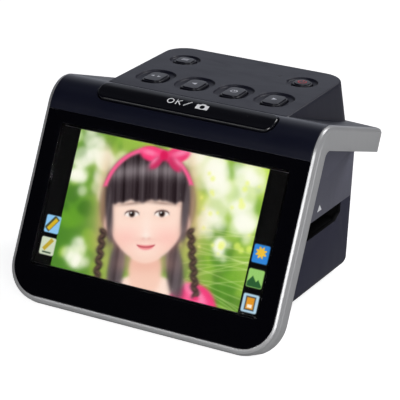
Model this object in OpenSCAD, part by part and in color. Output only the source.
// Desktop film negative scanner: a leaning screen head bent back into a visor,
// a body with a film passage through it, and a key deck that rises through the visor.
// X is left to right, Y runs front to back, Z is up. Millimetres.

/* [Head] */
// Width of panel and band on each side of the lit area
head_side = 11.25; // [10.25:0.05:13]
// Depth of the head, front surface to back surface
band_d = 11; // [10:0.5:13]
// Lean of the screen back from the vertical, degrees
lean = 22.5; // [18:0.5:26]
// Straight leg of the curved cover, from the glossy panel to the bend
cover_leg = 3; // [2:0.5:6]
// Outer radius of the bend between screen and visor
bend_r = 15; // [14.5:0.5:18]
// Fall of the visor towards the back, degrees
visor_fall = 16; // [12:0.5:18]
// Length of the visor along its sides
visor_side = 60; // [54:1:66]
// Sweep of the visor's back corners, degrees
sweep_a = 30; // [22:1:36]
// How far in from each side the sweep runs
sweep_w = 22; // [16:1:26]
// Height of the screen's bottom edge above the table
head_z = 2.5; // [2:0.1:5]
// Radius of the head's bottom corners
corner_r = 17; // [12:0.5:20]

/* [Silver band] */
// Wall of the band
band_wall = 2.2; // [1.8:0.1:2.6]
// Front lip beside the glossy panel
lip = 2.0; // [1.6:0.1:2.4]
// Front lip below the glossy panel
bottom_lip = 2.9; // [2.4:0.1:4]
// Width of the bright bevel
bevel_w = 1.0; // [0.6:0.1:1.2]
// Depth of the bright bevel
bevel_d = 0.7; // [0.5:0.1:1.5]
// Crown of the band's side at its ridge
crown = 0.3; // [0.2:0.1:0.9]
// Ledge that the panel and covers sit on
ledge_w = 1.4; // [1:0.1:2]

/* [Screen] */
// Width of the lit area, a 5 inch wide screen
lcd_w = 110.7; // [104:0.1:112]
// Height of the lit area
lcd_h = 62.3; // [58:0.1:64]
// Bottom of the lit area above the head's bottom edge
lcd_s = 17.8; // [16:0.1:19]
// Thickness of the glossy panel and of the curved cover
panel_t = 2.0; // [1.8:0.1:2.4]
// Height of the glossy panel above the lit area
panel_over = 6.4; // [6:0.1:8]
// Thickness of the clear window
window_t = 1.1; // [0.8:0.1:1.2]

/* [Covers] */
// Wall of the moulded shells
shell_t = 2.0; // [1.6:0.1:2.4]
// Visible seam between neighbouring covers
seam = 0.2; // [0.1:0.05:0.3]

/* [Press bar] */
// Half length of the press bar
bar_x = 43.5; // [36:0.5:44]
// Width of the press bar, measured across its curve
bar_w = 11.4; // [9:0.2:12]
// Stand of the press bar above the curved cover
bar_rise = 0.9; // [0.5:0.1:1.5]
// Direction in which the bar is pressed, degrees up from level
bar_a = 67; // [60:1:70]
// Travel of the bar and of every key
travel = 0.8; // [0.5:0.1:1]

/* [Key deck] */
// Half width of the deck at its top
deck_x = 44.9; // [43:0.1:46]
// Front edge of the deck behind the bend's axis
deck_step = 2.5; // [2.4:0.1:4]
// Height of the deck's front edge above the bend's axis
deck_up = 14.65; // [14.2:0.05:15.5]
// Length of the visor left behind the deck's top
deck_tail = 5.8; // [5.8:0.1:9]
// Rise of the deck towards the back, degrees
deck_rise = 2; // [0:0.25:3]
// Draft of the deck's side walls, degrees
deck_draft = 10; // [6:0.5:11]
// Draft of the deck's back wall, degrees
back_draft = 3; // [1:0.5:3]
// Radius of the deck's back corners
deck_r = 11; // [6:0.5:13]
// Thickness of the deck's top
deck_t = 3; // [2.8:0.1:3.6]
// Depth of the dish round each key
dish_d = 1.5; // [1:0.1:1.8]
// Spacing of the front keys
key_pitch = 19.9; // [19:0.1:20.4]
// Distance of the front keys behind the deck's front edge
key_y = 18.1; // [17.5:0.1:19]
// Distance of the back keys before the deck's back edge
back_key_in = 18.7; // [18:0.1:20]
// Sideways place of the back keys
back_key_x = 30.2; // [28:0.2:32]
// Width of a front key
key_w = 9.4; // [8:0.2:10]
// Length of a front key
key_l = 13.4; // [12:0.2:14]
// Radius of the round power key
power_r = 4.6; // [4:0.1:5.2]
// Running gap round the keys and the bar
key_gap = 0.35; // [0.25:0.05:0.45]

/* [Body] */
// Half width of the body at the film slot
body_x = 50.5; // [49:0.5:52]
// How far the visor's back edge stands out behind the body
body_tail = 0.8; // [0.8:0.1:3]
// Underside of the body above the table
body_z = 3.2; // [2.6:0.1:3.6]
// Radius of the body's back and bottom edges
body_r = 5.5; // [4.5:0.5:8]
// Height of the joint between the two casings, which is the film slot's top
split_z = 39.8; // [39:0.1:42]

/* [Film passage] */
// Length of the body behind the film slot
slot_tail = 16.3; // [15.8:0.1:18]
// Width of the film slot, front to back
slot_w = 60; // [58:0.5:61]
// Height of the film slot
slot_h = 7.8; // [6.5:0.1:8]
// Width of the picture gate
gate_w = 38; // [36:0.5:42]
// Depth of the picture gate, front to back
gate_d = 26; // [25:0.5:30]

/* [Hidden] */
$fn = 96;
eps = 0.01;
far = 200;

// ---- points on the head's side view: s runs up the screen, t back along the visor, d is depth
panel_top = lcd_s + lcd_h + panel_over;
front_len = panel_top + cover_leg;
head_w = lcd_w + 2 * head_side;
function front_y(s, d) = s * sin(lean) + d * cos(lean);
function front_z(s, d) = head_z + s * cos(lean) - d * sin(lean);
bend_y = front_y(front_len, bend_r);
bend_z = front_z(front_len, bend_r);
bend_end = 90 + visor_fall;
function visor_y(t, d) = bend_y + (bend_r - d) * sin(visor_fall) + t * cos(visor_fall);
function visor_z(t, d) = bend_z + (bend_r - d) * cos(visor_fall) - t * sin(visor_fall);

// ---- the swept back edge of the visor
visor_mid = visor_side + sweep_w * tan(sweep_a);
rear_r1 = lip + ledge_w + 0.4;
rear_r2 = 20;
turn_1 = 90 - sweep_a;
tan_1 = rear_r1 * tan(turn_1 / 2);
tan_2 = rear_r2 * tan(sweep_a / 2);
half_w = head_w / 2;

// ---- the band
panel_sink = 0.1;
ledge_d = panel_t + panel_sink;
ledge_h = 1.3;
ridge_d = band_d / 2;
band_floor = front_z(0, ridge_d);
band_steps = 12;
bend_steps = 24;

// ---- whole object
y_front = front_y(bevel_w, 0);
y_back = max(visor_y(visor_mid - bevel_w, 0), visor_y(visor_mid - crown / 2, bevel_d),
    visor_y(visor_mid, ridge_d));
y_mid = (y_front + y_back) / 2;

// ---- screen
window_edge = 1.2;
window_gap = 0.05;
lcd_gap = 0.3;
lcd_bezel_x = 4.8;
lcd_bezel_s = 5.4;
lcd_t = 3;
board_t = 1.6;
board_screw_r = 1;
board_screw_l = board_t + 4;
board_screw_head = 1.2;
board_screw_head_r = 1.9;
lcd_front = panel_sink + window_t + 0.15;
lcd_face_t = ledge_d - lcd_front;
lcd_mid_s = lcd_s + lcd_h / 2;
window_w = lcd_w + 2 * window_edge;
window_h = lcd_h + 2 * window_edge;
window_r = 1.5;

// ---- head's back cover and its screws
back_inset = band_wall + seam / 2;
mouth_x = 43.4;
mouth_s = 14;
mouth_t = visor_mid - 10.7;
head_screw_s = 8;
head_screw_low_x = 44;
head_screw_x = half_w - 10.6;
head_screw_t = [0.4 * visor_side, 5 / 6 * visor_side];
head_screw_l = 6;
head_screw_r = 1;
head_screw_head = 1.2;
head_screw_head_r = 2;
screw_boss_r = 2.6;
joint_x = body_x - 4.3;
joint_s = [30, 65];
joint_boss_l = 8;
pad_s = [24, panel_top - 12.5];
pad_r = 1.8;

// ---- press bar
bar_t = 2.9;
bar_r = 4.6;
flange_t = 1.0;
flange_gap = 0.4;
flange_w = 0.6;
stem_x = 28;
stem_r = 1.8;
stem_l = 3;
switch_gap = 0.2;
switch_button = 0.9;
switch_body = 3.4;
switch_w = 6;
bar_in = bend_r - ledge_d - flange_gap - flange_t;
bar_switch_top = bar_in - stem_l - travel - switch_gap;
bar_switch_h = 2.4;
bar_board_front = 5.6;
bar_board_w = 9.6;
bar_board_top = bar_switch_top - switch_button - bar_switch_h;
bend_mouth_r = bar_board_top + 3;
post_x = bar_x + 2.7;
post_r = 1.5;
stake_r = 0.8;

// ---- key deck
deck_front = bend_y + deck_step;
deck_z = bend_z + deck_up;
deck_l = visor_y(visor_mid, 0) - deck_tail - deck_front;
back_key_y = deck_l - back_key_in;
deck_low = 30;
deck_edge = 0.8;
deck_front_r = 2;
deck_post_r = 3;
key_board_x = 41;
key_board_y = 6;
key_board_l = deck_l - 2 * key_board_y - 0.7;
key_rise = 0.2;
key_flange = 1;
key_flange_t = 1;
key_flange_gap = 0.15;
key_stem = 2.3;
key_corner = 3.2;
rear_key_w = 9.4;
dish_r = 7.4;
front_dish_w = key_w + 7.6;
front_dish_l = key_l + 7;
front_dish_r = 8;
led_x = 17.5;
led_y = back_key_y + 2.8;
led_r = 0.9;
switch_top = deck_t + key_flange_gap + key_flange_t + key_stem + travel + switch_gap;
key_board_top = switch_top + switch_button + switch_body;
deck_posts = [[-36.5, 34], [36.5, 34], [0, 34], [0, back_key_y + 5]];
FRONT_KEYS = [for (i = [-1.5 : 1 : 1.5]) i * key_pitch];

// ---- body
body_back = visor_y(visor_mid, 0) - body_tail;
slot_back = body_back - slot_tail;
slot_front = slot_back - slot_w;
slot_z = split_z - slot_h;
film_y = slot_front + slot_w / 2;
casing_in = body_x - shell_t;
track_t = 2;
track_x = casing_in - 0.2;
fence_t = 2;
screw_x = 42;
screw_front = slot_front - fence_t - 5;
screw_back = slot_back + fence_t + 5;
screw_seat = slot_z - 2;
boss_r = 3.4;
upper_boss_l = 10;
screw_head_r = 2.6;
screw_r = 1.25;
foot_r = 5.5;
foot_in = 0.6;
foot_x = 38;
foot_front = 27;
foot_back = body_back - 15.3;
slot_cut_y = 5;
slot_cut_z = 3;

// ---- optics and boards
main_z = body_z + shell_t + 3;
main_x = 38;
main_back = body_back - 6.3;
main_front = main_back - 65;
light_w = gate_w + 8;
light_d = gate_d + 8;
light_wall = 1.6;
light_board_z = main_z + board_t + 4.5;
diffuser_t = 2;
camera_w = 44;
camera_d = 34;
sensor_room = 1.15;
sensor_stand = 8;
sensor_z = deck_z - key_board_top - 2 * board_t - board_screw_head - sensor_room;
camera_top = sensor_z - sensor_stand;
lens_r = 8;
lens_z = camera_top - 9;
lens_h = 14;
lens_bore = 5.5;
lens_gap = 0.05;
sensor_post = 12.5;
lug_x = camera_w / 2 + 3;
lug_t = board_screw_l - 1.7;
usb_x = -26;
usb_w = 7.7;
usb_h = 3.9;
video_x = -8;
video_w = 11.2;
video_h = 3.5;
card_x = 15.5;
card_w = 28;
card_h = 3;
socket_gap = 0.3;
card_gap = 2.5;
card_l = body_back - socket_gap - film_y - light_d / 2 - card_gap;

// ================= placing =================
module at_origin() { translate([0, -y_mid, 0]) children(); }
// local x across, y up the screen, z out of its face
module on_front(s = 0, d = 0) {
    translate([0, front_y(s, d), front_z(s, d)]) rotate([90 - lean, 0, 0]) children();
}
// local x across, y back along the visor, z out of its face
module on_visor(t = 0, d = 0) {
    translate([0, visor_y(t, d), visor_z(t, d)]) rotate([-visor_fall, 0, 0]) children();
}
// local z runs to the left along the bend's axis, angles count up from level front
module on_bend() { translate([0, bend_y, bend_z]) rotate([90, 0, -90]) children(); }
// local z points out along the press bar's travel, from the bend's axis
module on_press() { translate([0, bend_y, bend_z]) rotate([90 - bar_a, 0, 0]) children(); }
// local z stands on the deck's top at its front edge
module on_deck() { translate([0, deck_front, deck_z]) rotate([deck_rise, 0, 0]) children(); }
module both_sides() {
    children();
    mirror([1, 0, 0]) children();
}

// ================= outlines =================
module round_rect(w, l, r) {
    translate([-w / 2, -l / 2 + r]) square([w, l - 2 * r]);
    translate([-w / 2 + r, -l / 2]) square([w - 2 * r, l]);
    for (x = [-1, 1], y = [-1, 1]) translate([x * (w / 2 - r), y * (l / 2 - r)]) circle(r);
}
// the screen leg seen from its front, with round bottom corners
module front_outline(inset, bottom, top, r) {
    w = half_w - inset;
    translate([-w, bottom + r]) square([2 * w, top - bottom - r]);
    translate([-w + r, bottom]) square([2 * (w - r), r + eps]);
    for (x = [-1, 1]) translate([x * (w - r), bottom + r]) circle(r);
}
// the visor seen from above its face, with swept back corners
function arc_pts(cx, cy, r, a0, a1, n) =
    [for (i = [0 : n]) [cx + r * cos(a0 + (a1 - a0) * i / n), cy + r * sin(a0 + (a1 - a0) * i / n)]];
function visor_half(inset) = concat(
    arc_pts(half_w - rear_r1, visor_side - tan_1, rear_r1 - inset, 0, turn_1, 6),
    arc_pts(half_w - sweep_w - tan_2, visor_mid - rear_r2, rear_r2 - inset, turn_1, 90, 8));
module visor_outline(inset) {
    pts = visor_half(inset);
    n = len(pts);
    polygon(concat([[half_w - inset, 0]], pts,
        [for (i = [n - 1 : -1 : 0]) [-pts[i][0], pts[i][1]]], [[-(half_w - inset), 0]]));
}
// width of the band's lip, wider below the glossy panel, for outward directions from -90 to 90 degrees
function lip_at(a) = lip + (bottom_lip - lip) * max(0, -a) / 90;
function panel_corner(gap, n) = [for (i = [0 : n])
    let (a = -90 + 90 * i / n, r = corner_r - lip_at(a) - gap)
    [half_w - corner_r + r * cos(a), corner_r + r * sin(a)]];
module panel_outline(gap, top) {
    pts = panel_corner(gap, band_steps);
    n = len(pts);
    w = half_w - lip - gap;
    polygon(concat(pts, [[w, top], [-w, top]], [for (i = [n - 1 : -1 : 0]) [-pts[i][0], pts[i][1]]]));
}

// ================= head =================
// one layer of the head in side view, between two depths, from a height s0 on the screen over the bend
module head_layer(d0, d1, s0, w) {
    angles = [for (i = [0 : bend_steps]) lean + (bend_end - lean) * i / bend_steps];
    function edge(d) = concat([[front_y(s0, d), front_z(s0, d)]],
        [for (a = angles) [bend_y - (bend_r - d) * cos(a), bend_z + (bend_r - d) * sin(a)]],
        [[visor_y(visor_mid + 5, d), visor_z(visor_mid + 5, d)]]);
    inner = edge(d1);
    n = len(inner);
    translate([-w, 0, 0]) rotate([90, 0, 90]) linear_extrude(2 * w)
        polygon(concat(edge(d0), [for (i = [n - 1 : -1 : 0]) inner[i]]));
}
// what lies outside the swept back corners of the visor
module rear_waste(inset) {
    on_visor(0, band_d + 1) linear_extrude(band_d + 2) difference() {
        translate([-far, visor_side - rear_r1 - tan_1]) square([2 * far, far]);
        visor_outline(inset);
    }
}
// what lies outside the round bottom corners of the screen
module front_waste(inset) {
    on_front(0, band_d + 1) linear_extrude(band_d + 2) difference() {
        translate([-far, -far + corner_r]) square([2 * far, far]);
        front_outline(inset, inset, 3 * corner_r, corner_r - inset);
    }
}

// ---- the band: one section carried round the whole rim
// a station holds its point on the rim, its outward direction, its direction of depth and its lip width
function station_front(x, s, a) = [[x, front_y(s, 0), front_z(s, 0)],
    [cos(a), sin(a) * sin(lean), sin(a) * cos(lean)], [0, cos(lean), -sin(lean)], lip_at(a)];
function station_bend(a) = [[half_w, bend_y - bend_r * cos(a), bend_z + bend_r * sin(a)],
    [1, 0, 0], [0, cos(a), -sin(a)], lip];
function station_visor(x, t, b) = [[x, visor_y(t, 0), visor_z(t, 0)],
    [cos(b), sin(b) * cos(visor_fall), -sin(b) * sin(visor_fall)],
    [0, -sin(visor_fall), -cos(visor_fall)], lip];
half_rim = concat(
    [for (i = [0 : band_steps]) let (a = -90 + 90 * i / band_steps)
        station_front(half_w - corner_r + corner_r * cos(a), corner_r + corner_r * sin(a), a)],
    [for (i = [0 : bend_steps]) station_bend(lean + (bend_end - lean) * i / bend_steps)],
    [for (i = [0 : 6]) let (b = turn_1 * i / 6)
        station_visor(half_w - rear_r1 + rear_r1 * cos(b), visor_side - tan_1 + rear_r1 * sin(b), b)],
    [for (i = [0 : 8]) let (b = turn_1 + (90 - turn_1) * i / 8) station_visor(
        half_w - sweep_w - tan_2 + rear_r2 * cos(b), visor_mid - rear_r2 + rear_r2 * sin(b), b)]);
function mirrored(q) = [[-q[0][0], q[0][1], q[0][2]], [-q[1][0], q[1][1], q[1][2]], q[2], q[3]];
rim = concat(half_rim, [for (i = [len(half_rim) - 1 : -1 : 0]) mirrored(half_rim[i])]);
// the band's section as [outward offset, depth], for a lip of width l
function band_section(l) = [[-l, 0], [-bevel_w, 0], [-crown / 2, bevel_d], [0, ridge_d],
    [-crown, band_d], [-band_wall, band_d], [-band_wall, ledge_d + ledge_h],
    [-l - ledge_w, ledge_d + ledge_h], [-l - ledge_w, ledge_d], [-l, ledge_d]];
// every point is kept above the level that the band is cut off at
function on_floor(p) = [p[0], p[1], max(p[2], band_floor)];
module trim_frame() {
    m = len(band_section(lip));
    n = len(rim);
    color([0.58, 0.58, 0.56]) polyhedron(
        [for (q = rim, p = band_section(q[3])) on_floor(q[0] + p[0] * q[1] + p[1] * q[2])],
        [for (i = [0 : n - 1], j = [0 : m - 1], k = [0, 1])
            let (a = i * m + j, b = i * m + (j + 1) % m, c = (i + 1) % n * m + (j + 1) % m, d = (i + 1) % n * m + j)
            k == 0 ? [a, b, c] : [a, c, d]]);
}

module head_screw_places() {
    for (x = [-1, 1]) {
        on_front(head_screw_s, 0) translate([x * head_screw_low_x, 0, 0]) children();
        for (t = head_screw_t) on_visor(t, 0) translate([x * head_screw_x, 0, 0]) children();
    }
}

// screws that hold the body's two casings to the head's back cover
module joint_places(places = joint_s) {
    for (x = [-1, 1], s = places) on_front(s, 0) translate([x * joint_x, 0, 0]) children();
}
module joint_bosses(s) {
    joint_places([s]) difference() {
        translate([0, 0, -band_d - joint_boss_l]) cylinder(h = joint_boss_l, r = screw_boss_r);
        translate([0, 0, -band_d - head_screw_l + shell_t - eps]) cylinder(h = head_screw_l, r = head_screw_r);
    }
}

module front_panel() {
    color([0.02, 0.02, 0.03]) difference() {
        union() {
            on_front(0, ledge_d) linear_extrude(panel_t) panel_outline(seam / 2, panel_top);
            both_sides() on_front(head_screw_s, band_d - shell_t) translate([head_screw_low_x, 0, 0])
                cylinder(h = band_d - shell_t - ledge_d + eps, r = screw_boss_r);
        }
        on_front(lcd_mid_s, 0) {
            translate([-lcd_w / 2 - lcd_gap, -lcd_h / 2 - lcd_gap, -band_d / 2])
                cube([lcd_w + 2 * lcd_gap, lcd_h + 2 * lcd_gap, band_d]);
            translate([0, 0, -panel_sink - window_t]) linear_extrude(window_t + 1)
                round_rect(window_w + 2 * window_gap, window_h + 2 * window_gap, window_r);
        }
        head_screw_places() translate([0, 0, -band_d]) cylinder(h = head_screw_l + eps, r = head_screw_r);
    }
}
module screen_window() {
    color([0.75, 0.85, 0.9, 0.3]) on_front(lcd_mid_s, panel_sink + window_t) linear_extrude(window_t)
        round_rect(window_w, window_h, window_r);
}
module lcd_panel() {
    color([0.1, 0.3, 0.2]) on_front(lcd_mid_s, ledge_d) translate([-lcd_w / 2, -lcd_h / 2, 0])
        cube([lcd_w, lcd_h, lcd_face_t]);
}
module lcd_frame() {
    color([0.7, 0.7, 0.72]) on_front(lcd_mid_s, ledge_d + lcd_t) difference() {
        translate([-lcd_w / 2 - lcd_bezel_x, -lcd_h / 2 - lcd_bezel_s, 0])
            cube([lcd_w + 2 * lcd_bezel_x, lcd_h + 2 * lcd_bezel_s, lcd_t]);
        for (x = [-1 : 1]) translate([x * lcd_w / 3 - 8, -lcd_h / 3, -eps]) cube([16, lcd_h / 1.5, 0.8]);
    }
}
module display_board() {
    color([0.05, 0.3, 0.15]) on_front(lcd_mid_s, ledge_d + lcd_t + board_t) {
        translate([-lcd_w / 2 + 8, -lcd_h / 2 + 4, 0]) cube([lcd_w - 16, lcd_h - 8, board_t]);
        for (c = [[-30, 10, 12], [8, -6, 9], [34, 12, 7]])
            translate([c[0] - c[2] / 2, c[1] - c[2] / 2, -1]) cube([c[2], c[2], 1.2]);
    }
}

// the dark shell behind the screen and under the visor
module head_back_cover() {
    color([0.12, 0.12, 0.14]) difference() {
        union() {
            head_layer(band_d - shell_t, band_d, -corner_r, half_w - back_inset);
            cover_pads();
        }
        front_waste(back_inset);
        rear_waste(back_inset);
        on_front(mouth_s, band_d + 1) translate([-mouth_x, 0, 0]) cube([2 * mouth_x, far, shell_t + 2]);
        on_bend() cylinder(h = 2 * (post_x + post_r + 0.6), r = bend_mouth_r, center = true);
        on_bend() cylinder(h = 2 * mouth_x, r = bend_r - ledge_d - 1, center = true);
        on_visor(0, band_d + 1) translate([-mouth_x, -2, 0]) cube([2 * mouth_x, mouth_t + 2, shell_t + 2]);
        head_screw_places() translate([0, 0, -band_d]) countersink();
        joint_places() translate([0, 0, shell_t - band_d]) mirror([0, 0, 1]) countersink();
    }
}
// hole for a countersunk screw that is driven along local z
module countersink() {
    translate([0, 0, -eps]) cylinder(h = shell_t + 1, r = head_screw_r + 0.1);
    translate([0, 0, -eps])
        cylinder(h = head_screw_head + eps, r1 = head_screw_head_r + 0.1, r2 = head_screw_r + 0.1);
}
// pads that hold the screen's frame and the band's ledge from behind
module cover_pads() {
    both_sides() {
        for (s = pad_s) on_front(s, band_d - shell_t) {
            translate([lcd_w / 2 + 1, 0, -eps]) cylinder(h = band_d - shell_t - ledge_d - lcd_t + eps, r = pad_r);
            translate([half_w - back_inset - pad_r, 0, 0]) ledge_pad();
        }
        on_visor(visor_side / 2, band_d - shell_t) translate([half_w - back_inset - pad_r, 0, 0]) ledge_pad();
    }
}
module ledge_pad() { translate([0, -2 * pad_r, -eps]) cube([pad_r, 4 * pad_r, band_d - shell_t - ledge_d - ledge_h + eps]); }

// the satin cover that bends from the screen's top back over the visor
module top_cover() {
    color([0.07, 0.07, 0.1]) difference() {
        union() {
            head_layer(panel_sink, ledge_d, panel_top + seam, half_w - lip - seam / 2);
            both_sides() on_press() translate([post_x, 0, bar_board_top]) {
                cylinder(h = bend_r - bar_board_top - 1, r = post_r);
                translate([0, 0, -board_t]) cylinder(h = board_t + eps, r = stake_r);
                translate([0, 0, -board_t - 0.6]) cylinder(h = 0.6, r = post_r);
            }
            both_sides() for (t = head_screw_t) on_visor(t, band_d - shell_t) translate([head_screw_x, 0, 0])
                cylinder(h = band_d - shell_t - ledge_d + eps, r = screw_boss_r);
        }
        on_press() linear_extrude(far) round_rect(2 * (bar_x + key_gap), bar_w + 2 * key_gap, bar_r + key_gap);
        rear_waste(lip + seam / 2);
        deck_block(seam, -shell_t);
        head_screw_places() translate([0, 0, -band_d]) cylinder(h = head_screw_l + eps, r = head_screw_r);
    }
}

// ================= press bar =================
module ok_bar() {
    color([0.04, 0.04, 0.06]) {
        intersection() {
            on_press() linear_extrude(far) round_rect(2 * bar_x, bar_w, bar_r);
            bar_ring(bar_in, bend_r + bar_rise);
        }
        intersection() {
            on_press() linear_extrude(far) round_rect(2 * bar_x - 3, bar_w + 2 * flange_w, bar_r);
            bar_ring(bar_in, bar_in + flange_t);
        }
        both_sides() on_press() translate([stem_x, 0, bar_in - stem_l]) cylinder(h = stem_l + 0.4, r = stem_r);
    }
}
module bar_ring(r0, r1) {
    on_bend() difference() {
        cylinder(h = 2 * head_w, r = r1, center = true);
        cylinder(h = 3 * head_w, r = r0, center = true);
    }
}
module shutter_board() {
    color([0.05, 0.3, 0.15]) on_press() difference() {
        translate([-post_x - post_r, -bar_board_front, bar_board_top - board_t])
            cube([2 * (post_x + post_r), bar_board_w, board_t]);
        both_sides() translate([post_x, 0, 0]) cylinder(h = bend_r, r = stake_r);
    }
}
module tact_switch(body) {
    translate([-switch_w / 2, -switch_w / 2, 0]) cube([switch_w, switch_w, body]);
    cylinder(h = body + switch_button, r = 1.75);
}
module shutter_switches() {
    color([0.15, 0.15, 0.15]) both_sides() on_press() translate([stem_x, 0, bar_board_top])
        tact_switch(bar_switch_h);
}

// ================= key deck =================
// the deck's drafted block, its walls moved out by grow and its top lowered by drop
module deck_block(grow, drop) {
    low = deck_low * tan(deck_draft) + grow;
    low_back = deck_low * tan(back_draft) + grow;
    l = deck_l;
    r = deck_r + min(grow, 0);
    hull() {
        translate([0, deck_front, deck_z - deck_low]) deck_corners(deck_x + low, -grow, l + low_back, r);
        on_deck() translate([0, 0, -drop - deck_edge]) deck_corners(deck_x + grow, -grow, l + grow, r);
        on_deck() translate([0, 0, -drop])
            deck_corners(deck_x + grow - deck_edge, deck_edge - grow, l + grow - deck_edge, r - deck_edge);
    }
}
// thin discs at the corners of the deck, seen from above
module deck_corners(x, y0, y1, r) {
    for (side = [-1, 1]) {
        translate([side * (x - deck_front_r), y0 + deck_front_r, 0]) cylinder(h = eps, r = deck_front_r, $fn = 32);
        translate([side * (x - r), y1 - r, 0]) cylinder(h = eps, r = r, $fn = 64);
    }
}
module control_deck() {
    color([0.16, 0.16, 0.18]) difference() {
        union() {
            intersection() {
                difference() {
                    deck_block(0, 0);
                    deck_block(-shell_t, deck_t);
                }
                on_visor(visor_mid - band_wall - key_gap - far, band_d - shell_t)
                    translate([-far, 0, 0]) cube([2 * far, far, far]);
            }
            for (p = deck_posts) on_deck() translate([p[0], p[1], -key_board_top])
                cylinder(h = key_board_top - deck_t + eps, r = deck_post_r);
        }
        on_deck() {
            for (x = FRONT_KEYS) translate([x, key_y, 0]) {
                translate([0, 0, -dish_d]) linear_extrude(dish_d + 1)
                    round_rect(front_dish_w, front_dish_l, front_dish_r);
                key_hole() round_rect(key_w + 2 * key_gap, key_l + 2 * key_gap, key_corner + key_gap);
            }
            translate([-back_key_x, back_key_y, 0]) {
                translate([0, 0, -dish_d]) cylinder(h = dish_d + 1, r = dish_r);
                key_hole() round_rect(rear_key_w + 2 * key_gap, rear_key_w + 2 * key_gap, key_corner + key_gap);
            }
            translate([back_key_x, back_key_y, 0]) {
                translate([0, 0, -dish_d]) cylinder(h = dish_d + 1, r = dish_r);
                key_hole() circle(power_r + key_gap);
            }
            translate([led_x, led_y, -deck_t - 1]) cylinder(h = deck_t + 2, r = led_r);
            for (p = deck_posts) translate([p[0], p[1], -key_board_top - eps]) cylinder(h = 4.5, r = board_screw_r);
        }
    }
}
module key_hole() { translate([0, 0, -deck_t - 1]) linear_extrude(deck_t + 1) children(); }

// a key: cap, retaining flange under the deck, and the stem that meets its switch
module key_cap(x, y) {
    color([0.06, 0.06, 0.07]) on_deck() translate([x, y, 0]) {
        low = deck_t + key_flange_gap;
        translate([0, 0, -low - eps]) linear_extrude(low + key_rise + eps) children(0);
        translate([0, 0, -low - key_flange_t]) linear_extrude(key_flange_t) children(1);
        translate([0, 0, -low - key_flange_t - key_stem]) cylinder(h = key_stem + eps, r = stem_r);
    }
}
module front_key(i) {
    key_cap(FRONT_KEYS[i], key_y) {
        round_rect(key_w, key_l, key_corner);
        round_rect(key_w + 2 * key_flange, key_l + 2 * key_flange, key_corner + key_flange);
    }
}
module rear_key() {
    key_cap(-back_key_x, back_key_y) {
        round_rect(rear_key_w, rear_key_w, key_corner);
        round_rect(rear_key_w + 2 * key_flange, rear_key_w + 2 * key_flange, key_corner + key_flange);
    }
}
module power_key() {
    key_cap(back_key_x, back_key_y) {
        circle(power_r);
        circle(power_r + key_flange);
    }
}
module led_light_pipe() {
    color([0.8, 0.8, 0.85]) on_deck() translate([led_x, led_y, 0]) {
        translate([0, 0, -key_board_top + 0.5]) cylinder(h = key_board_top - 0.5, r = led_r);
        translate([0, 0, -deck_t - 1]) cylinder(h = 1, r = 2 * led_r);
    }
}
module key_places() {
    for (x = FRONT_KEYS) translate([x, key_y, 0]) children();
    for (x = [-1, 1]) translate([x * back_key_x, back_key_y, 0]) children();
}
module key_board() {
    color([0.05, 0.3, 0.15]) on_deck() difference() {
        translate([-key_board_x, key_board_y, -key_board_top - board_t])
            cube([2 * key_board_x, key_board_l, board_t]);
        for (p = deck_posts) translate([p[0], p[1], -key_board_top - 3]) cylinder(h = 4, r = board_screw_r + 0.2);
    }
}
module key_switches() {
    color([0.15, 0.15, 0.15]) on_deck() key_places() translate([0, 0, -key_board_top])
        tact_switch(switch_body);
}
// a small screw, its head standing on local z and its shank running down
module board_screw() {
    cylinder(h = board_screw_head, r = board_screw_head_r);
    translate([0, 0, -board_screw_l]) cylinder(h = board_screw_l + eps, r = board_screw_r);
}
module board_screws() {
    color([0.75, 0.75, 0.78]) {
        on_deck() for (p = deck_posts) translate([p[0], p[1], -key_board_top - board_t])
            mirror([0, 0, 1]) board_screw();
        main_places() translate([0, 0, main_z + board_t]) board_screw();
        lug_places() translate([0, 0, split_z + track_t + lug_t]) board_screw();
        sensor_places() translate([0, 0, sensor_z + board_t]) board_screw();
    }
}

// ================= body =================
// side view of the space behind the screen and under the visor
module body_profile() {
    s0 = (body_z - head_z + band_d * sin(lean)) / cos(lean);
    t1 = (body_back - visor_y(0, band_d)) / cos(visor_fall);
    inner_r = bend_r - band_d;
    rotate([90, 0, 90]) translate([0, 0, -far / 2]) linear_extrude(far) polygon(concat(
        [[body_back + 1, body_z - 1], [front_y(s0, band_d) - 0.4, body_z - 1], [front_y(s0, band_d), body_z]],
        [for (i = [0 : 8]) let (a = lean + (bend_end - lean) * i / 8)
            [bend_y - inner_r * cos(a), bend_z + inner_r * sin(a)]],
        [[visor_y(t1 + 1, band_d), visor_z(t1 + 1, band_d)]]));
}
// block with round back and bottom edges
module round_block(x, back, bottom, r) {
    hull() for (side = [-1, 1]) {
        translate([side * (x - r), back - r, bottom + r]) sphere(r, $fn = 48);
        translate([side * (x - r), back - r, bottom + 90]) cylinder(h = 1, r = r, $fn = 48);
        translate([side * (x - r), 0, bottom + r]) rotate([90, 0, 0]) cylinder(h = 1, r = r, $fn = 48);
        translate([side * (x - r) - r, -1, bottom + 90]) cube([2 * r, 1, 1]);
    }
}
module body_shell() {
    difference() {
        intersection() {
            round_block(body_x, body_back, body_z, body_r);
            body_profile();
        }
        round_block(casing_in, body_back - shell_t, body_z + shell_t, body_r - shell_t);
    }
}
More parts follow.
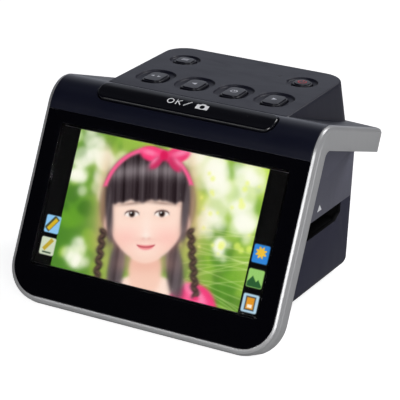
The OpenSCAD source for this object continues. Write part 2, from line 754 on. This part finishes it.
// strip that closes the body behind the visor's back edge
module rear_roof() {
    intersection() {
        round_block(body_x, body_back, body_z, body_r);
        on_visor(mouth_t + 4, band_d + shell_t) translate([-far / 2, 0, 0]) cube([far, far, shell_t]);
        translate([-far, 0, 0]) cube([2 * far, body_back - eps, far]);
    }
}
module above_split() { translate([-far, -far, split_z]) cube([2 * far, 2 * far, far]); }
module screw_places() {
    for (x = [-1, 1], y = [screw_front, screw_back]) translate([x * screw_x, y, 0]) children();
}
module upper_casing() {
    color([0.18, 0.18, 0.21]) difference() {
        union() {
            intersection() {
                body_shell();
                above_split();
            }
            screw_places() translate([0, 0, split_z + track_t]) cylinder(h = upper_boss_l, r = boss_r);
            for (x = [-1, 1], y = [screw_front, screw_back])
                translate([x * (screw_x + casing_in + 0.5) / 2, y, split_z + track_t + upper_boss_l / 2])
                    cube([casing_in + 0.5 - screw_x, 2, upper_boss_l], center = true);
            joint_bosses(joint_s[1]);
            rear_roof();
        }
        screw_places() translate([0, 0, split_z]) cylinder(h = upper_boss_l, r = screw_r);
    }
}
// side view of the film slot, with its cut-off lower back corner
module slot_cut(x) {
    rotate([90, 0, 90]) translate([0, 0, -x]) linear_extrude(2 * x)
        polygon([[slot_front, slot_z], [slot_back - slot_cut_y, slot_z], [slot_back, slot_z + slot_cut_z],
            [slot_back, split_z + 1], [slot_front, split_z + 1]]);
}
module lower_casing() {
    color([0.1, 0.1, 0.13]) difference() {
        union() {
            difference() {
                body_shell();
                above_split();
                slot_cut(body_x + 1);
            }
            screw_places() translate([0, 0, body_z + 1]) cylinder(h = split_z - body_z - 1, r = boss_r);
            for (x = [-1, 1], y = [-1 : 1])
                translate([x * (casing_in - 1) - 1.5, film_y + y * (slot_w / 2 - 6) - 1, body_z + body_r])
                    cube([3, 2, slot_z - track_t - body_z - body_r]);
            main_places() translate([0, 0, body_z + 1]) cylinder(h = main_z - body_z - 1, r = 3);
            joint_bosses(joint_s[0]);
        }
        main_places() translate([0, 0, main_z + board_t - board_screw_l]) cylinder(h = far, r = board_screw_r);
        screw_places() {
            translate([0, 0, body_z - 1]) cylinder(h = split_z, r = screw_r + 0.25);
            translate([0, 0, body_z - 1]) cylinder(h = screw_seat - body_z + 1, r = screw_head_r + 0.2);
        }
        foot_places() translate([0, 0, body_z - 1]) cylinder(h = 1 + foot_in, r = foot_r);
        socket_places() {
            socket_hole(usb_w, usb_h);
            socket_hole(video_w, video_h);
            socket_hole(card_w, card_h);
        }
    }
}
module main_places() {
    for (x = [-1, 1], y = [main_front + 4, main_back - 4]) translate([x * (main_x - 5), y, 0]) children();
}
module foot_places() {
    for (x = [-1, 1], y = [foot_front, foot_back]) translate([x * foot_x, y, 0]) children();
}
module rubber_feet() {
    color([0.05, 0.05, 0.05]) foot_places() rotate_extrude()
        polygon([[0, 0], [foot_r - 0.8, 0], [foot_r, 0.8], [foot_r, body_z + foot_in], [0, body_z + foot_in]]);
}
module case_screws() {
    color([0.75, 0.75, 0.78]) screw_places() {
        translate([0, 0, screw_seat - 1.8]) cylinder(h = 1.8, r = screw_head_r);
        translate([0, 0, screw_seat - eps]) cylinder(h = split_z - screw_seat + 9, r = screw_r);
    }
}
module head_screw() {
    cylinder(h = head_screw_head, r1 = head_screw_head_r, r2 = head_screw_r);
    cylinder(h = head_screw_l, r = head_screw_r);
}
module head_screws() {
    color([0.75, 0.75, 0.78]) {
        head_screw_places() translate([0, 0, -band_d]) head_screw();
        joint_places() translate([0, 0, shell_t - band_d]) mirror([0, 0, 1]) head_screw();
    }
}

// ================= film passage =================
// a block centred on the film's gate, from one height to another
module film_block(w, l, z0, z1) { translate([-w / 2, film_y - l / 2, z0]) cube([w, l, z1 - z0]); }
module gate_hole(w, l) { translate([-w / 2, film_y - l / 2, -1]) cube([w, l, far]); }
module film_track_lower() {
    color([0.08, 0.08, 0.09]) difference() {
        translate([0, 0, slot_z - track_t]) union() {
            translate([-track_x, slot_front - fence_t, 0]) cube([2 * track_x, slot_w + 2 * fence_t, track_t]);
            for (y = [slot_front - fence_t, slot_back])
                translate([-track_x, y, 0]) cube([2 * track_x, fence_t, track_t + slot_h]);
        }
        gate_hole(gate_w, gate_d);
    }
}
// its four ears are clamped between the screw bosses of the two casings
module film_track_upper() {
    color([0.08, 0.08, 0.09]) difference() {
        translate([0, 0, split_z]) union() {
            translate([-track_x, slot_front - fence_t, 0]) cube([2 * track_x, slot_w + 2 * fence_t, track_t]);
            screw_places() cylinder(h = track_t, r = boss_r);
            for (x = [-1, 1], y = [screw_front, slot_back])
                translate([x * screw_x - boss_r, y, 0]) cube([2 * boss_r, screw_back - slot_back, track_t]);
        }
        screw_places() translate([0, 0, split_z - 1]) cylinder(h = track_t + 2, r = screw_r + 0.25);
        lug_places() translate([0, 0, split_z + track_t + lug_t - board_screw_l])
            cylinder(h = board_screw_l, r = board_screw_r);
        gate_hole(gate_w, gate_d);
    }
}

// ================= light box =================
module backlight_housing() {
    top = slot_z - track_t - diffuser_t;
    color([0.85, 0.85, 0.85]) difference() {
        film_block(light_w, light_d, main_z + board_t, top);
        film_block(light_w - 2 * light_wall, light_d - 2 * light_wall, light_board_z, top + 1);
        film_block(light_w - 4 * light_wall, light_d - 4 * light_wall, main_z, top);
    }
}
module diffuser() {
    color([0.95, 0.95, 0.95])
        film_block(light_w, light_d, slot_z - track_t - diffuser_t, slot_z - track_t);
}
module backlight_board() {
    color([0.9, 0.9, 0.88]) film_block(light_w - 2 * light_wall - 0.3, light_d - 2 * light_wall - 0.3,
        light_board_z, light_board_z + board_t);
}
module backlight_leds() {
    color([0.95, 0.9, 0.5]) for (x = [-1 : 1], y = [-0.5, 0.5])
        translate([x * 11 - 1.75, film_y + y * 11 - 1.4, light_board_z + board_t]) cube([3.5, 2.8, 0.8]);
}

// ================= camera =================
module lug_places() { for (x = [-1, 1]) translate([x * lug_x, film_y, 0]) children(); }
module sensor_places() {
    for (x = [-1, 1], y = [-1, 1]) translate([x * sensor_post, film_y + y * sensor_post, 0]) children();
}
module camera_housing() {
    color([0.06, 0.06, 0.07]) difference() {
        union() {
            film_block(camera_w, camera_d, split_z + track_t, camera_top);
            film_block(2 * lug_x, 2 * screw_boss_r, split_z + track_t, split_z + track_t + lug_t);
            lug_places() translate([0, 0, split_z + track_t]) cylinder(h = lug_t, r = screw_boss_r);
            sensor_places() translate([0, 0, camera_top - eps]) cylinder(h = sensor_z - camera_top + eps, r = 2.2);
        }
        film_block(camera_w - 2 * shell_t, camera_d - 2 * shell_t, split_z, camera_top - shell_t);
        translate([0, film_y, camera_top - 2 * shell_t]) cylinder(h = 3 * shell_t, r = lens_r + lens_gap);
        lug_places() translate([0, 0, split_z]) cylinder(h = lug_t + 3, r = board_screw_r + 0.1);
        sensor_places() translate([0, 0, sensor_z + board_t - board_screw_l]) cylinder(h = 5, r = board_screw_r);
    }
}
module lens_barrel() {
    color([0.1, 0.1, 0.1]) translate([0, film_y, lens_z]) rotate_extrude()
        polygon([[lens_bore, 0], [lens_r, 0], [lens_r, lens_h], [lens_bore - 1.5, lens_h],
            [lens_bore - 1.5, lens_h / 2 + 0.5], [lens_bore - 1, lens_h / 2 + 0.5],
            [lens_bore - 1, lens_h / 2 - 0.5], [lens_bore, lens_h / 2 - 0.5]]);
}
module lens_elements() {
    color([0.7, 0.8, 0.9, 0.4]) translate([0, film_y, lens_z]) {
        lens_element(1, lens_bore);
        lens_element(lens_h / 2 + 2, lens_bore - 1.5);
    }
}
module lens_element(z, r) {
    dome = 1.2;
    ball = (r * r + dome * dome) / (2 * dome);
    translate([0, 0, z]) {
        cylinder(h = 1.5, r = r);
        translate([0, 0, 1.5 + dome - ball]) intersection() {
            sphere(ball);
            translate([0, 0, ball - dome]) cylinder(h = 2 * dome, r = r);
        }
    }
}
module sensor_board() {
    w = 2 * (sensor_post + 4);
    color([0.05, 0.3, 0.15]) difference() {
        film_block(w, w, sensor_z, sensor_z + board_t);
        sensor_places() translate([0, 0, sensor_z - 1]) cylinder(h = board_t + 2, r = board_screw_r + 0.1);
    }
}
module image_sensor() {
    color([0.2, 0.2, 0.25]) film_block(11, 9, sensor_z - 1.4, sensor_z);
}

// ================= main board and sockets =================
module main_board() {
    color([0.05, 0.3, 0.15]) difference() {
        translate([-main_x, main_front, main_z]) cube([2 * main_x, main_back - main_front, board_t]);
        main_places() cylinder(h = far, r = board_screw_r + 0.1);
    }
}
module socket_places() {
    translate([usb_x, 0, 0]) children(0);
    translate([video_x, 0, 0]) children(1);
    translate([card_x, 0, 0]) children(2);
}
module socket_hole(w, h) {
    translate([-w / 2 - socket_gap, main_back - 5, main_z + board_t - socket_gap])
        cube([w + 2 * socket_gap, far, h + 2 * socket_gap]);
}
// a socket's metal or plastic shell, open at the back of the body
module socket_shell(x, w, h, l, wall) {
    translate([x - w / 2, body_back - l - socket_gap, main_z + board_t]) difference() {
        cube([w, l, h]);
        translate([wall, wall + 1, wall]) cube([w - 2 * wall, l, h - 2 * wall]);
    }
}
module socket_tongue(x, w, l) {
    translate([x - w / 2, body_back - l - socket_gap, main_z + board_t + 1.4]) cube([w, l - 1.5, 0.7]);
}
module usb_socket() {
    color([0.75, 0.75, 0.78]) {
        socket_shell(usb_x, usb_w, usb_h, 9, 0.5);
        socket_tongue(usb_x, usb_w - 3, 8.5);
    }
}
module video_socket() {
    color([0.75, 0.75, 0.78]) {
        socket_shell(video_x, video_w, video_h, 9, 0.5);
        socket_tongue(video_x, video_w - 3, 8.5);
    }
}
module card_socket() { color([0.7, 0.7, 0.72]) socket_shell(card_x, card_w, card_h, card_l, 0.3); }

at_origin() {
    trim_frame();
    front_panel();
    screen_window();
    lcd_panel();
    lcd_frame();
    display_board();
    head_back_cover();
    top_cover();
    ok_bar();
    shutter_board();
    shutter_switches();
    control_deck();
    front_key(0);  // front_key_1
    front_key(1);  // front_key_2
    front_key(2);  // front_key_3
    front_key(3);  // front_key_4
    rear_key();
    power_key();
    led_light_pipe();
    key_board();
    key_switches();
    upper_casing();
    lower_casing();
    film_track_lower();
    film_track_upper();
    backlight_housing();
    diffuser();
    backlight_board();
    backlight_leds();
    main_board();
    usb_socket();
    video_socket();
    card_socket();
    camera_housing();
    lens_barrel();
    lens_elements();
    sensor_board();
    image_sensor();
    rubber_feet();
    case_screws();
    head_screws();
    board_screws();
}
